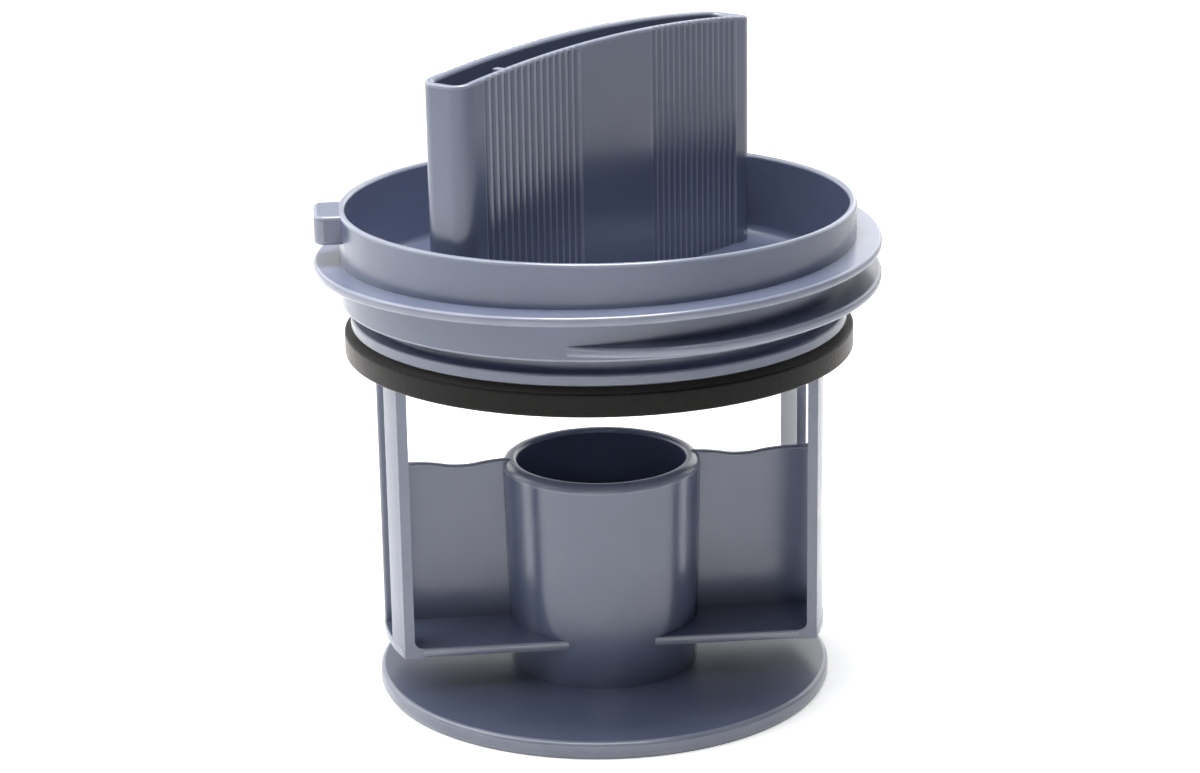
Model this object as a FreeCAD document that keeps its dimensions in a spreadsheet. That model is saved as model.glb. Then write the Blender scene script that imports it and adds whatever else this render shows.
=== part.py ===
import FreeCAD, Part
import math
import operator
import os

import Sketcher

# Screw-in drain pump filter: a one-piece moulding (disc, suction tube, lint cage, threaded cap and grip)
# and the rubber ring that seals the cap. Millimetres and degrees.
# Frame: origin at the centre of the disc's underside, +Z up to the grip, X along the cage's two wings.

DIMENSIONS = {
    # Base disc
    "disc_radius": 28.7,
    "disc_thickness": 2.2,
    "disc_edge_inset": 0.35,
    "disc_edge_step": 0.65,
    # Suction tube
    "tube_bore_radius": 10.65,
    "tube_foot_wall": 1.3,
    "tube_mouth_wall": 1.9,
    "tube_height": 29.1,
    "tube_lip_bevel": 0.7,
    "tube_foot_bevel": 0.6,
    # Lint cage: floor, wings, middle ribs and corner legs
    "floor_rise": 4.95,
    "floor_thickness": 1.2,
    "floor_reach": 0.1,
    "cage_inset": 0.3,
    "cage_half_depth": 10.8,
    "leg_thickness": 1.15,
    "leg_width": 4.3,
    "leg_root": 1.0,
    "wing_thickness": 1.2,
    "wing_rise": 0.1,
    "wing_dip_depth": 0.8,
    "wing_dip_gap": 1.05,
    "wing_dip_reach": 4.2,
    "middle_rib_width": 1.5,
    # Cap underside, seal seat, guard flange and groove, each from the one below and inside the wall
    "skirt_height": 43.27,
    "skirt_wall": 1.5,
    "seat_height": 4.18,
    "seat_inset": 3.6,
    "seat_lip_reach": 0.6,
    "seat_lip_thickness": 0.65,
    "guard_thickness": 1.4,
    "guard_inset": 1.15,
    "groove_height": 1.8,
    "groove_inset": 3.2,
    # Bowl and its threaded wall
    "bowl_floor": 1.3,
    "bowl_corner_bevel": 0.8,
    "wall_radius": 31.9,
    "wall_height": 11.6,
    "wall_foot": 1.8,
    "rim_wall": 0.9,
    "rim_bevel": 0.3,
    # Screw thread
    "thread_height": 3.1,
    "thread_pitch": 4.2,
    "thread_turns": 1.47,
    "thread_start_angle": -102.0,
    "thread_start_rise": 1.35,
    "thread_crest_width": 1.15,
    "thread_root_width": 1.45,
    "thread_root_depth": 0.45,
    "thread_nose": 0.12,
    "thread_lead_in": 85.0,
    "thread_run_out": 55.0,
    # Stop tab beside the rim
    "tab_width": 8.3,
    "tab_reach": 2.9,
    "tab_height": 3.6,
    "tab_root_depth": 0.5,
    # Grip
    "grip_angle": 45.9,
    "grip_end_gap": 1.7,
    "grip_thickness": 6.8,
    "grip_wall": 1.1,
    "grip_corner": 2.3,
    "grip_rise": 30.95,
    "grip_arch_radius": 230.0,
    "grip_lip": 0.9,
    "groove_count": 15,
    "groove_width": 0.86,
    "groove_depth": 0.35,
    "grip_plain_centre": 13.9,
    "grip_plain_end": 4.0,
    "inner_rib_place": 8.2,
    "inner_rib_width": 1.0,
    "inner_rib_depth": 0.9,
    "inner_rib_drop": 1.2,
    # Rubber sealing ring
    "seal_width": 3.3,
    "seal_clearance": 0.03,
    "seal_play": 0.66,
}

OPERATIONS = {"+": operator.add, "-": operator.sub, "*": operator.mul, "/": operator.truediv}
H_AXIS = -1
V_AXIS = -2
START = 1
END = 2
CENTRE = 3


class Size:
    """A number together with the sheet formula that gives it."""

    def __init__(self, number, formula):
        self.number = number
        self.formula = formula

    def __add__(self, other):
        return combined(self, "+", other)

    def __sub__(self, other):
        return combined(self, "-", other)

    def __mul__(self, other):
        return combined(self, "*", other)

    def __truediv__(self, other):
        return combined(self, "/", other)

    def __neg__(self):
        return self * -1


def combined(left, sign, right):
    """Join two sizes, or a size and a plain number, with one of the four signs."""
    if not isinstance(right, Size):
        right = Size(right, f"({right})")
    number = OPERATIONS[sign](left.number, right.number)
    return Size(number, f"({left.formula} {sign} {right.formula})")


def root(size):
    """Square root of a size."""
    return Size(math.sqrt(size.number), f"sqrt({size.formula})")


def cosine(angle):
    """Cosine of an angle in degrees."""
    return Size(math.cos(math.radians(angle.number)), f"cos({angle.formula})")


def sine(angle):
    """Sine of an angle in degrees."""
    return Size(math.sin(math.radians(angle.number)), f"sin({angle.formula})")


def circle_reach(radius, offset):
    """Half the chord of a circle, at an offset from its centre."""
    return root(radius * radius - offset * offset)


class Round:
    """A round side of an outline: which way it turns, and one coordinate of its centre."""

    def __init__(self, turn, x=None, y=None):
        self.turn = turn
        self.x = x
        self.y = y

    def centre(self, start, end):
        """Place the centre as far from the start as from the end."""
        (x1, y1), (x2, y2) = start, end
        if self.x is not None:
            x = number_of(self.x)
            y = (x2 * x2 - x1 * x1 + y2 * y2 - y1 * y1 - 2 * x * (x2 - x1)) / (2 * (y2 - y1))
            return FreeCAD.Vector(x, y, 0)
        y = number_of(self.y)
        x = (x2 * x2 - x1 * x1 + y2 * y2 - y1 * y1 - 2 * y * (y2 - y1)) / (2 * (x2 - x1))
        return FreeCAD.Vector(x, y, 0)


def number_of(place):
    """The number of a size, or a plain zero."""
    return place.number if isinstance(place, Size) else place


def bind(target, path, size):
    """Tie a property to the sheet."""
    target.setExpression(path, size.formula)


def hold(sketch, geometry, point, x=None, y=None):
    """Tie a sketch point's coordinates to sizes, or to an axis where the coordinate is zero."""
    for kind, axis, place in (("DistanceX", V_AXIS, x), ("DistanceY", H_AXIS, y)):
        if place is None:
            continue
        if not isinstance(place, Size):
            sketch.addConstraint(Sketcher.Constraint("PointOnObject", geometry, point, axis))
            continue
        rule = Sketcher.Constraint(kind, H_AXIS, START, geometry, point, place.number)
        bind(sketch, f"Constraints[{sketch.addConstraint(rule)}]", place)


def draw_side(sketch, start, end, bend):
    """Add one straight or round side and return it with its first and last points."""
    first = FreeCAD.Vector(*start, 0)
    last = FreeCAD.Vector(*end, 0)
    if bend is None:
        return sketch.addGeometry(Part.LineSegment(first, last)), START, END
    centre = bend.centre(start, end)
    circle = Part.Circle(centre, FreeCAD.Vector(0, 0, 1), centre.distanceToPoint(first))
    if bend.turn == "left":
        arc = Part.ArcOfCircle(circle, circle.parameter(first), circle.parameter(last))
        return sketch.addGeometry(arc), START, END
    arc = Part.ArcOfCircle(circle, circle.parameter(last), circle.parameter(first))
    return sketch.addGeometry(arc), END, START


def draw_outline(sketch, corners):
    """Draw a closed outline. A corner is (x, y), or (x, y, Round) where a round side leaves it."""
    places = [(number_of(corner[0]), number_of(corner[1])) for corner in corners]
    sides = []
    for index, corner in enumerate(corners):
        bend = corner[2] if len(corner) == 3 else None
        following = places[(index + 1) % len(corners)]
        sides.append(draw_side(sketch, places[index], following, bend))
    for index, corner in enumerate(corners):
        side, first, last = sides[index]
        following, following_first, _ = sides[(index + 1) % len(sides)]
        sketch.addConstraint(Sketcher.Constraint("Coincident", side, last, following, following_first))
        hold(sketch, side, first, corner[0], corner[1])
        if len(corner) == 3:
            hold(sketch, side, CENTRE, corner[2].x, corner[2].y)


def draw_circle(sketch, radius):
    """Draw a circle round the sketch's origin."""
    circle = Part.Circle(FreeCAD.Vector(0, 0, 0), FreeCAD.Vector(0, 0, 1), radius.number)
    geometry = sketch.addGeometry(circle)
    sketch.addConstraint(Sketcher.Constraint("Coincident", geometry, CENTRE, H_AXIS, START))
    rule = Sketcher.Constraint("Radius", geometry, radius.number)
    bind(sketch, f"Constraints[{sketch.addConstraint(rule)}]", radius)


def draw_rounded_box(sketch, half_length, half_width, corner):
    """Draw a rectangle round the sketch's origin with round corners."""
    straight = half_length - corner
    flank = half_width - corner
    draw_outline(sketch, [
        (-straight, -half_width),
        (straight, -half_width, Round("left", x=straight)),
        (half_length, -flank),
        (half_length, flank, Round("left", x=straight)),
        (straight, half_width),
        (-straight, half_width, Round("left", x=-straight)),
        (-half_length, flank),
        (-half_length, -flank, Round("left", x=-straight)),
    ])


def origin_feature(body, role):
    """One of the body's own origin planes or axes."""
    return next(feature for feature in body.Origin.OriginFeatures if feature.Role == role)


def flat_sketch(body, name, height=None, angle=None):
    """A level sketch at a height, turned about the vertical axis."""
    turn = FreeCAD.Rotation(FreeCAD.Vector(0, 0, 1), angle.number if angle else 0)
    lift = FreeCAD.Vector(0, 0, height.number if height else 0)
    return placed_sketch(body, name, "XY_Plane", FreeCAD.Placement(lift, turn), height, angle)


def upright_sketch(body, name, angle=None):
    """A sketch on the upright plane through the axis, turned about it. Its vertical is the height."""
    turn = FreeCAD.Rotation(FreeCAD.Vector(0, 1, 0), angle.number if angle else 0)
    return placed_sketch(body, name, "XZ_Plane", FreeCAD.Placement(FreeCAD.Vector(), turn), None, angle)


def placed_sketch(body, name, plane, offset, height, angle):
    """A sketch on one of the body's origin planes, with its offset tied to the sheet."""
    sketch = body.newObject("Sketcher::SketchObject", name)
    sketch.AttachmentSupport = [(origin_feature(body, plane), "")]
    sketch.MapMode = "FlatFace"
    sketch.AttachmentOffset = offset
    if height:
        bind(sketch, "AttachmentOffset.Base.z", height)
    if angle:
        bind(sketch, "AttachmentOffset.Rotation.Angle", angle)
    return sketch


def revolve(body, name, sketch):
    """Turn a profile round the vertical axis."""
    feature = body.newObject("PartDesign::Revolution", name)
    feature.Profile = sketch
    feature.ReferenceAxis = (sketch, ["V_Axis"])
    feature.Angle = 360
    return feature


def pad(body, name, sketch, length, symmetric=False):
    """Raise a sketch by a length, or by half of it to each side."""
    feature = body.newObject("PartDesign::Pad", name)
    feature.Profile = sketch
    feature.SideType = "Symmetric" if symmetric else "One side"
    bind(feature, "Length", length)
    return feature


def pocket(body, name, sketch, length, symmetric=False):
    """Cut a sketch upwards by a length, or by half of it to each side."""
    feature = body.newObject("PartDesign::Pocket", name)
    feature.Profile = sketch
    feature.SideType = "Symmetric" if symmetric else "One side"
    feature.Reversed = not symmetric
    bind(feature, "Length", length)
    return feature


def seat_radius(size):
    """Radius of the seat that the seal sits on."""
    return size["wall_radius"] - size["seat_inset"]


def cage_radius(size):
    """Outer radius of the cage's legs and middle ribs."""
    return seat_radius(size) - size["cage_inset"]


def inside_tube_wall(size):
    """Radius half way through the tube's wall, where the cage runs into it."""
    return size["tube_bore_radius"] + size["tube_foot_wall"] / 2


def cage_floor(size):
    """Height of the cage floor's underside."""
    return size["disc_thickness"] + size["floor_rise"]


def bowl_underside(size):
    """Height of the bowl's underside, on top of the seat, the guard flange and the groove."""
    return size["skirt_height"] + size["seat_height"] + size["guard_thickness"] + size["groove_height"]


def rim_height(size):
    """Height of the rim."""
    return bowl_underside(size) + size["wall_height"]


def bowl_radius(size):
    """Radius of the bowl at its floor."""
    return size["wall_radius"] - size["wall_foot"]


def add_base(body, size):
    """The disc and the suction tube, open at both ends."""
    bore = size["tube_bore_radius"]
    mouth = bore + size["tube_mouth_wall"]
    foot = bore + size["tube_foot_wall"]
    spread = size["tube_foot_bevel"]
    lip = size["tube_lip_bevel"]
    disc_top = size["disc_thickness"]
    profile = upright_sketch(body, "base_profile")
    draw_outline(profile, [
        (bore, 0),
        (size["disc_radius"] - size["disc_edge_inset"], 0),
        (size["disc_radius"], size["disc_edge_step"]),
        (size["disc_radius"], disc_top),
        (foot + spread, disc_top),
        (foot, disc_top + spread),
        (mouth, size["tube_height"] - lip),
        (mouth - lip, size["tube_height"]),
        (bore, size["tube_height"]),
    ])
    revolve(body, "base", profile)


def add_wings(body, size):
    """The upright wings that carry the tube, each with a dipped top and a middle rib up to the cap."""
    inside = inside_tube_wall(size)
    reach = cage_radius(size)
    rib = reach - size["middle_rib_width"]
    foot = cage_floor(size)
    top = size["tube_height"] + size["wing_rise"]
    half_dip = size["wing_dip_depth"] / 2
    bend = size["wing_dip_reach"]
    start = size["tube_bore_radius"] + size["tube_mouth_wall"] + size["wing_dip_gap"]
    rib_top = size["skirt_height"] + size["leg_root"]
    sketch = upright_sketch(body, "wing_outline")
    for side, inward, outward in ((1, "left", "right"), (-1, "right", "left")):
        draw_outline(sketch, [
            (inside * side, foot),
            (reach * side, foot),
            (reach * side, rib_top),
            (rib * side, rib_top),
            (rib * side, top),
            ((start + bend * 2) * side, top, Round(inward, x=(start + bend * 2) * side)),
            ((start + bend * 1.5) * side, top - half_dip, Round(outward, x=(start + bend) * side)),
            ((start + bend) * side, top - half_dip * 2, Round(outward, x=(start + bend) * side)),
            ((start + bend * 0.5) * side, top - half_dip, Round(inward, x=start * side)),
            (start * side, top),
            (inside * side, top),
        ])
    pad(body, "wings", sketch, size["wing_thickness"], symmetric=True)


def add_floor(body, size):
    """The cage floor: a round plate with straight front and back edges, joined to the tube's wall."""
    depth = size["cage_half_depth"]
    half_chord = circle_reach(cage_radius(size) + size["floor_reach"], depth)
    sketch = flat_sketch(body, "floor_outline", cage_floor(size))
    draw_outline(sketch, [
        (-half_chord, -depth),
        (half_chord, -depth, Round("left", x=0)),
        (half_chord, depth),
        (-half_chord, depth, Round("left", x=0)),
    ])
    draw_circle(sketch, inside_tube_wall(size))
    pad(body, "floor", sketch, size["floor_thickness"])


def add_legs(body, size):
    """The four corner legs: curved strips from the floor up into the cap's skirt."""
    outer = cage_radius(size)
    inner = outer - size["leg_thickness"]
    far = size["cage_half_depth"]
    near = far - size["leg_width"]
    foot = cage_floor(size)
    sketch = flat_sketch(body, "leg_outline", foot)
    for x_side in (1, -1):
        for y_side in (1, -1):
            turn = "left" if x_side == y_side else "right"
            back = "right" if x_side == y_side else "left"
            draw_outline(sketch, [
                (circle_reach(outer, near) * x_side, near * y_side, Round(turn, x=0)),
                (circle_reach(outer, far) * x_side, far * y_side),
                (circle_reach(inner, far) * x_side, far * y_side, Round(back, x=0)),
                (circle_reach(inner, near) * x_side, near * y_side),
            ])
    pad(body, "legs", sketch, size["skirt_height"] + size["leg_root"] - foot)


def add_cap(body, size):
    """The cap in one profile: skirt with the seal's seat, guard flange, groove, bowl and bevelled rim."""
    wall = size["wall_radius"]
    seat = seat_radius(size)
    skirt_bore = seat - size["skirt_wall"]
    skirt = size["skirt_height"]
    seat_floor = skirt + size["seat_lip_thickness"]
    guard = wall - size["guard_inset"]
    guard_foot = skirt + size["seat_height"]
    guard_top = guard_foot + size["guard_thickness"]
    groove = wall - size["groove_inset"]
    underside = bowl_underside(size)
    bowl = bowl_radius(size)
    bowl_top = underside + size["bowl_floor"]
    corner = size["bowl_corner_bevel"]
    rim = size["rim_bevel"]
    rim_bore = wall - size["rim_wall"]
    rim_top = rim_height(size)
    profile = upright_sketch(body, "cap_profile")
    draw_outline(profile, [
        (skirt_bore, skirt),
        (seat, skirt),
        (seat + size["seat_lip_reach"], seat_floor),
        (seat, seat_floor),
        (seat, guard_foot),
        (guard, guard_foot),
        (guard, guard_top),
        (groove, guard_top),
        (groove, underside),
        (wall, underside),
        (wall, rim_top - rim),
        (wall - rim, rim_top),
        (rim_bore + rim, rim_top),
        (rim_bore, rim_top - rim),
        (bowl, bowl_top + corner),
        (bowl - corner, bowl_top),
        (0, bowl_top),
        (0, underside),
        (skirt_bore, underside),
    ])
    revolve(body, "cap", profile)


def add_tab(body, size):
    """The stop tab beside the rim, over one wing."""
    half_width = size["tab_width"] / 2
    inside = size["wall_radius"] - size["tab_root_depth"]
    outside = size["wall_radius"] + size["tab_reach"]
    sketch = flat_sketch(body, "tab_outline", rim_height(size) - size["tab_height"])
    draw_outline(sketch, [
        (-outside, -half_width),
        (-inside, -half_width),
        (-inside, half_width),
        (-outside, half_width),
    ])
    pad(body, "tab", sketch, size["tab_height"])


def add_thread(body, size):
    """The right-hand thread, sunk into the wall at its root and ground away to nothing at both ends."""
    wall = size["wall_radius"]
    crest = wall + size["thread_height"]
    base_half = size["thread_root_width"] / 2
    crest_half = size["thread_crest_width"] / 2
    level = bowl_underside(size) + size["thread_start_rise"]
    profile = upright_sketch(body, "thread_profile", size["thread_start_angle"])
    draw_outline(profile, [
        (wall - size["thread_root_depth"], level - base_half),
        (crest, level - crest_half),
        (crest, level + crest_half),
        (wall - size["thread_root_depth"], level + base_half),
    ])
    thread = body.newObject("PartDesign::AdditiveHelix", "thread")
    thread.Profile = profile
    thread.ReferenceAxis = (origin_feature(body, "Z_Axis"), [""])
    thread.Mode = "pitch-turns-angle"
    bind(thread, "Pitch", size["thread_pitch"])
    bind(thread, "Turns", size["thread_turns"])
    sweep = size["thread_turns"] * 360
    lane = size["thread_pitch"]
    base = size["thread_root_width"]
    finish = level + lane * size["thread_turns"]
    ends = (
        ("lead_in", size["thread_start_angle"], 1, size["thread_lead_in"], level - base),
        ("run_out", size["thread_start_angle"] + sweep, -1, size["thread_run_out"], finish - lane + base),
    )
    for name, angle, side, spread, low in ends:
        nose = wall + size["thread_nose"]
        clear = crest + size["thread_nose"]
        far = clear + size["thread_root_width"]
        sketch = flat_sketch(body, f"{name}_outline", low, angle)
        turn = "left" if side == 1 else "right"
        draw_outline(sketch, [
            (nose, 0, Round(turn, y=0)),
            (clear * cosine(spread), clear * sine(spread) * side),
            (far, clear * sine(spread) * side),
            (far, 0),
        ])
        pocket(body, name, sketch, lane)


def add_grip(body, size):
    """The hollow grip blade: arched top, fluted faces under a plain lip, and two short ribs inside."""
    angle = size["grip_angle"]
    floor = bowl_underside(size) + size["bowl_floor"]
    half_length = bowl_radius(size) - size["grip_end_gap"]
    half_width = size["grip_thickness"] / 2
    rise = size["grip_rise"]
    top = floor + rise
    blade = flat_sketch(body, "blade_outline", floor, angle)
    draw_rounded_box(blade, half_length, half_width, size["grip_corner"])
    pad(body, "blade", blade, rise)

    depth = size["groove_depth"]
    width = size["groove_width"]
    plain = size["grip_plain_centre"] / 2
    fluted = half_length - size["grip_plain_end"]
    pitch = (fluted - plain) / size["groove_count"]
    first = plain + pitch / 2
    flute = flat_sketch(body, "flute_outline", floor, angle)
    draw_outline(flute, [
        (first - width, -half_width - depth),
        (first + width, -half_width - depth),
        (first, -half_width + depth),
    ])
    cut = pocket(body, "flute", flute, rise)
    repeat_flutes(body, flute, cut, pitch, size["groove_count"])

    radius = size["grip_arch_radius"]
    centre = top - radius
    over = half_length + size["grip_corner"]
    over_height = centre + circle_reach(radius, over)
    above = top + size["grip_corner"]
    arch = upright_sketch(body, "arch_outline", angle)
    draw_outline(arch, [
        (-over, over_height, Round("right", y=centre)),
        (over, over_height),
        (over, above),
        (-over, above),
    ])
    pocket(body, "arch", arch, size["grip_thickness"] * 2, symmetric=True)

    under = radius - size["grip_lip"]
    lip = upright_sketch(body, "lip_outline", angle)
    draw_outline(lip, [
        (-fluted, centre + circle_reach(radius, fluted), Round("right", y=centre)),
        (fluted, centre + circle_reach(radius, fluted)),
        (fluted, centre + circle_reach(under, fluted), Round("left", y=centre)),
        (-fluted, centre + circle_reach(under, fluted)),
    ])
    pad(body, "lip", lip, size["grip_thickness"], symmetric=True)

    wall = size["grip_wall"]
    hollow = flat_sketch(body, "hollow_outline", floor, angle)
    draw_rounded_box(hollow, half_length - wall, half_width - wall, size["grip_corner"] - wall)
    pocket(body, "hollow", hollow, rise)

    place = half_length - size["inner_rib_place"]
    rib_half = size["inner_rib_width"] / 2
    rib_top = centre + circle_reach(radius, place) - size["inner_rib_drop"]
    ribs = flat_sketch(body, "inner_rib_outline", floor, angle)
    for side in (1, -1):
        draw_outline(ribs, [
            ((place - rib_half) * side, (half_width - wall / 2) * side),
            ((place + rib_half) * side, (half_width - wall / 2) * side),
            ((place + rib_half) * side, (half_width - wall - size["inner_rib_depth"]) * side),
            ((place - rib_half) * side, (half_width - wall - size["inner_rib_depth"]) * side),
        ])
    pad(body, "inner_ribs", ribs, rib_top - floor)


def repeat_flutes(body, sketch, cut, pitch, count):
    """Repeat the first flute along the face, to the other half and to the other face."""
    row = body.newObject("PartDesign::LinearPattern", "flute_row")
    row.Direction = (sketch, ["H_Axis"])
    row.Mode = "Spacing"
    bind(row, "Offset", pitch)
    bind(row, "Occurrences", count)
    halves = body.newObject("PartDesign::Mirrored", "flute_halves")
    halves.MirrorPlane = (sketch, ["V_Axis"])
    faces = body.newObject("PartDesign::Mirrored", "flute_faces")
    faces.MirrorPlane = (sketch, ["H_Axis"])
    flutes = body.newObject("PartDesign::MultiTransform", "flutes")
    flutes.Originals = [cut]
    flutes.Transformations = [row, halves, faces]
    body.Tip = flutes


def add_filter_body(doc, size):
    """The whole moulding, built from the disc up."""
    body = doc.addObject("PartDesign::Body", "filter_body")
    add_base(body, size)
    add_wings(body, size)
    add_floor(body, size)
    add_legs(body, size)
    add_cap(body, size)
    add_tab(body, size)
    add_grip(body, size)
    add_thread(body, size)
    return body


def add_seal_ring(doc, size):
    """The rubber ring on its seat."""
    body = doc.addObject("PartDesign::Body", "seal_ring")
    seat = seat_radius(size)
    inner = seat + size["seal_clearance"]
    outer = seat + size["seal_width"]
    bottom = size["skirt_height"] + size["seat_lip_thickness"] + size["seal_clearance"]
    top = size["skirt_height"] + size["seat_height"] - size["seal_play"]
    profile = upright_sketch(body, "seal_profile")
    draw_outline(profile, [
        (inner, bottom),
        (outer, bottom),
        (outer, top),
        (inner, top),
    ])
    revolve(body, "ring", profile)
    return body


def make_sheet(doc):
    """Write the driving dimensions to the sheet and return them as sizes."""
    sheet = doc.addObject("Spreadsheet::Sheet", "sizes")
    size = {}
    for row, (name, number) in enumerate(DIMENSIONS.items(), start=1):
        sheet.set(f"A{row}", name)
        sheet.set(f"B{row}", str(number))
        sheet.setAlias(f"B{row}", name)
        size[name] = Size(number, f"sizes.{name}")
    doc.recompute()
    return size


def check(doc, bodies):
    """Stop if anything failed to build."""
    for thing in doc.Objects:
        if "Invalid" in thing.State or "Error" in thing.State:
            raise RuntimeError(f"{thing.Name} failed: {thing.State}")
    for body in bodies:
        if body.Shape.isNull() or not body.Shape.isValid():
            raise RuntimeError(f"{body.Label} has no valid shape")
        if len(body.Shape.Solids) != 1:
            raise RuntimeError(f"{body.Label} has {len(body.Shape.Solids)} solids")


def main():
    """Build the filter and write one file for each piece."""
    doc = FreeCAD.newDocument("pump_filter")
    size = make_sheet(doc)
    bodies = [add_filter_body(doc, size), add_seal_ring(doc, size)]
    doc.recompute()
    check(doc, bodies)
    os.makedirs("parts", exist_ok=True)
    for body in bodies:
        body.Shape.exportStep(f"parts/{body.Label}.step")
        box = body.Shape.optimalBoundingBox(False)
        print(f"{body.Label}: {body.Shape.Volume:.1f} mm3, {box.XLength:.2f} x {box.YLength:.2f} x {box.ZLength:.2f} mm")


main()
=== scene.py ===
"""Dressed model of a screw-in washer pump filter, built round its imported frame.

The pieces are modelled in millimetres in the frame's own axes and turned to metres when they are dressed:
+Z runs up the screw axis to the grip, X lies along the cage's two wings, and -Y is the front.
"""

import logging
import math
from dataclasses import dataclass, field
from enum import Enum
from typing import ClassVar

import bmesh
import bpy
from bmesh.types import BMEdge, BMesh, BMFace, BMVert
from mathutils import Matrix, Quaternion, Vector


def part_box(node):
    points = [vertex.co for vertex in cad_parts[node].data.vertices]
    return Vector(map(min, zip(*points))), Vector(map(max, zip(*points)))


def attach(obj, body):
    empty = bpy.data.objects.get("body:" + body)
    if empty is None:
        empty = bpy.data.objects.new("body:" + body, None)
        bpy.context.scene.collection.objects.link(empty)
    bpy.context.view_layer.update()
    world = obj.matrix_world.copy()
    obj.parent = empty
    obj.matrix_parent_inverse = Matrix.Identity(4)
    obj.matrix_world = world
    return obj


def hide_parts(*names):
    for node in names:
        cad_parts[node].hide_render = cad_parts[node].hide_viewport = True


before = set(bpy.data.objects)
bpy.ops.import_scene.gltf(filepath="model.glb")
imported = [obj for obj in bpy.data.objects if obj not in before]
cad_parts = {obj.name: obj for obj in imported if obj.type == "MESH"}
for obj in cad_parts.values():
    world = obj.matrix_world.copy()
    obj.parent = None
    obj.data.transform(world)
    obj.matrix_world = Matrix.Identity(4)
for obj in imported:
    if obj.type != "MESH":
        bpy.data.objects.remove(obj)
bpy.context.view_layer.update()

LOG = logging.getLogger("pump_filter")

Colour = tuple[float, float, float, float]
Span = tuple[float, float]

# A millimetre in the frame's metres, then the millimetres that count as nothing and as one point.
MM = 0.001
TINY = 1e-5
MERGE = 2e-4

# Millimetres that more than one piece is built to: the cap's outer wall and the bowl's floor.
CAP_WALL = 31.9
BOWL_FLOOR = 51.95

# Segments of a rounding, and the bends from which an edge is rounded or shaded as an edge.
EDGE_SEGMENTS = 2
ROUND_SEGMENTS = 4
FINE_SEGMENTS = 8
ROUNDED_FROM = math.radians(40.0)
SHADED_FROM = math.radians(32.0)

# Attribute that holds each face's painted edge highlight, the bend over its threshold at which the painted
# highlight is full, and a tall face.
EDGE_HIGHLIGHT = "painted_edge_highlight"
FULL_HIGHLIGHT = 0.25
TALL_FACE = 5.0

# Shader nodes by name, the sockets of a colour mix by number, and the range that most noise values lie in.
PRINCIPLED = "Principled BSDF"
BACKGROUND = "Background"
MIX_FACTOR = 0
MIX_FIRST = 6
MIX_SECOND = 7
MIX_RESULT = 2
NOISE_SPAN = (0.3, 0.7)
WHOLE = (0.0, 1.0)
WHITE = (1.0, 1.0, 1.0, 1.0)


class Slot(Enum):
    """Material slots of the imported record."""

    PLASTIC = "moulded_plastic"
    RUBBER = "seal_rubber"


class Solid(Enum):
    """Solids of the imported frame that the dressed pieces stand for."""

    MOULDING = "filter_body"
    RING = "seal_ring"


class Plane(Enum):
    """Plane that an outline is drawn in."""

    UPRIGHT = "upright"
    LEVEL = "level"

    def point(self, across: float, along: float) -> Vector:
        """Place an outline's two coordinates in space."""
        return Vector((across, 0.0, along)) if self is Plane.UPRIGHT else Vector((across, along, 0.0))


class Level(Enum):
    """Rings that the grip's wall is drawn through, from above its foot over the lip and down inside."""

    FLUTED = "fluted"
    PLAIN = "plain"
    TOP = "top"
    MOUTH = "mouth"
    INSIDE = "inside"


class Operation(Enum):
    """Ways in which a node works out a value from two others."""

    ADD = "ADD"
    MULTIPLY = "MULTIPLY"
    MAXIMUM = "MAXIMUM"


@dataclass(frozen=True)
class Corner:
    """A corner of an outline in millimetres, and how far its rounding reaches along the sides."""

    across: float
    along: float
    rounding: float = 0.0


@dataclass(frozen=True)
class Pattern:
    """Noise on a piece: waves to the metre, about, octaves, and the weight of the finer ones."""

    scale: float
    detail: float
    roughness: float = 0.5


def everything(bm: BMesh) -> list[BMVert | BMEdge | BMFace]:
    """List all points, edges and faces of a shape."""
    return bm.verts[:] + bm.edges[:] + bm.faces[:]


def draw_outline(bm: BMesh, corners: list[Corner], plane: Plane, segments: int = ROUND_SEGMENTS) -> None:
    """Draw a filled outline and round its corners.

    Args:
        bm: Empty mesh to draw in.
        corners: Corners in order.
        plane: Plane of the outline.
        segments: Segments of each rounding.
    """
    verts = [bm.verts.new(plane.point(corner.across, corner.along)) for corner in corners]
    bm.faces.new(verts)
    for vert, corner in zip(verts, corners):
        if corner.rounding:
            bmesh.ops.bevel(
                bm, geom=[vert], offset=corner.rounding, offset_type="OFFSET", segments=segments,
                profile=0.5, affect="VERTICES", material=-1,
            )


def close(bm: BMesh) -> None:
    """Merge doubled points and turn every face outwards."""
    bmesh.ops.remove_doubles(bm, verts=bm.verts[:], dist=MERGE)
    bmesh.ops.recalc_face_normals(bm, faces=bm.faces[:])


def turned(corners: list[Corner], steps: int) -> BMesh:
    """Turn an outline right round the screw axis.

    Args:
        corners: Outline in the upright plane, as radius and height. A side on the axis is left out.
        steps: Steps of the full turn.

    Returns:
        The closed shape.
    """
    bm = bmesh.new()
    draw_outline(bm, corners, Plane.UPRIGHT)
    bmesh.ops.delete(bm, geom=bm.faces[:], context="FACES_ONLY")
    on_axis = [edge for edge in bm.edges if all(abs(vert.co.x) < TINY for vert in edge.verts)]
    bmesh.ops.delete(bm, geom=on_axis, context="EDGES")
    bmesh.ops.spin(
        bm, geom=everything(bm), axis=(0, 0, 1), cent=(0, 0, 0), angle=math.tau, steps=steps, use_merge=True,
    )
    close(bm)
    return bm


def trim(bm: BMesh, point: Vector, normal: Vector) -> None:
    """Cut away what lies on one side of a plane and close the cut.

    Args:
        bm: Shape to trim.
        point: A point of the plane.
        normal: Direction of the side that goes.
    """
    cut = bmesh.ops.bisect_plane(
        bm, geom=everything(bm), plane_co=point, plane_no=normal, clear_outer=True, dist=TINY,
    )["geom_cut"]
    bmesh.ops.holes_fill(bm, edges=[part for part in cut if isinstance(part, BMEdge)], sides=0)


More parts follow.
